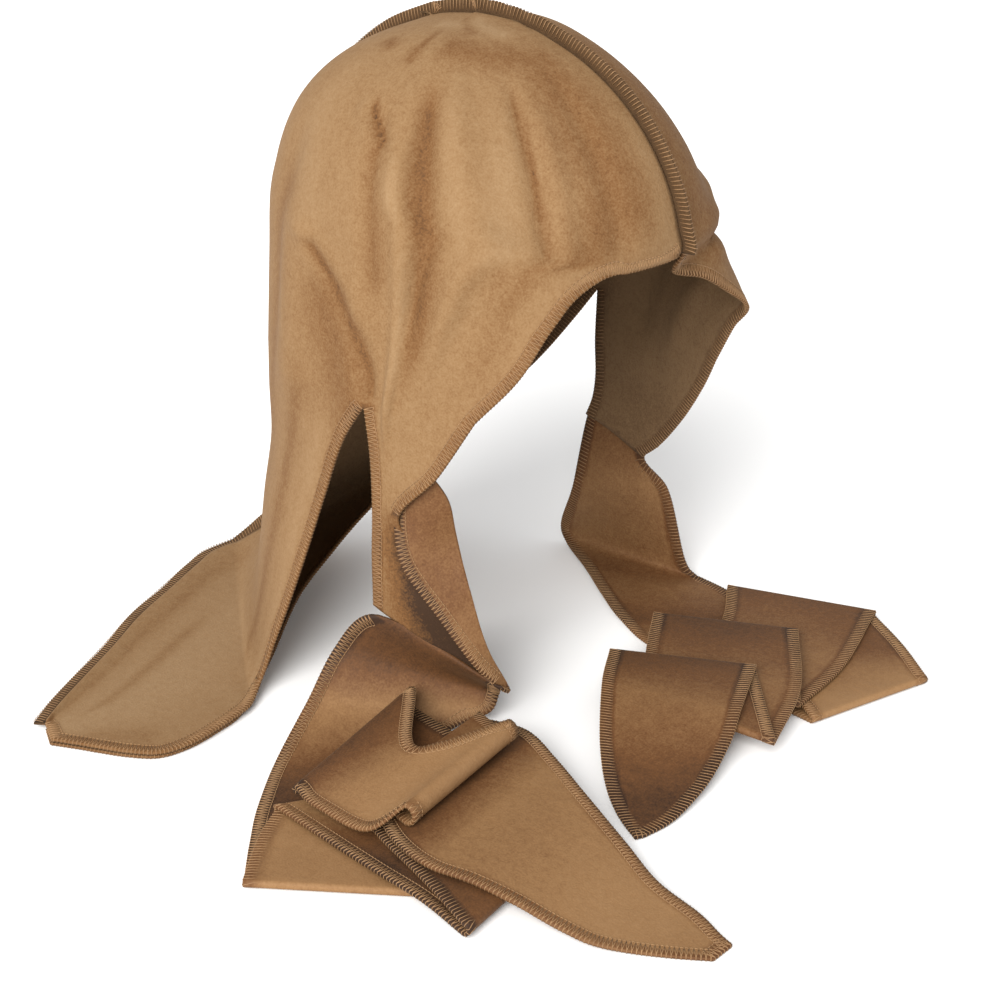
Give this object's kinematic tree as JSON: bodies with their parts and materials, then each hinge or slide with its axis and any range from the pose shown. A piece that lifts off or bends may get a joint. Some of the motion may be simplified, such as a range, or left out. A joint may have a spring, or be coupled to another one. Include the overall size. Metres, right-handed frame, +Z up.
{
  "type": "durag",
  "caption": "Cloth durag as worn: two panels joined by a raised centre seam, a slit at each side, a long tail folded along its seam, and two long ties hanging and folded in front",
  "frame": {"origin": "top of the crown, where a head carries the cap; the lowest cloth lies 0.29 m below it", "axes": "+Z up out of the crown; -Y to the front of the cap; +X to the wearer's left"},
  "size_m": [0.3442, 0.3857, 0.2968],
  "materials": {
    "panel_cloth": "brushed tan cloth with a soft suede nap",
    "seam_cloth": "the same cloth, overlocked, seen on its darker side",
    "tie_cloth": "the same cloth, brushed the darker way"
  },
  "bodies": {
    "root": {"panel_right": "panel_cloth", "panel_left": "panel_cloth", "centre_seam": "seam_cloth", "tie_right": "tie_cloth", "tie_left": "tie_cloth"}
  },
  "joints": []
}
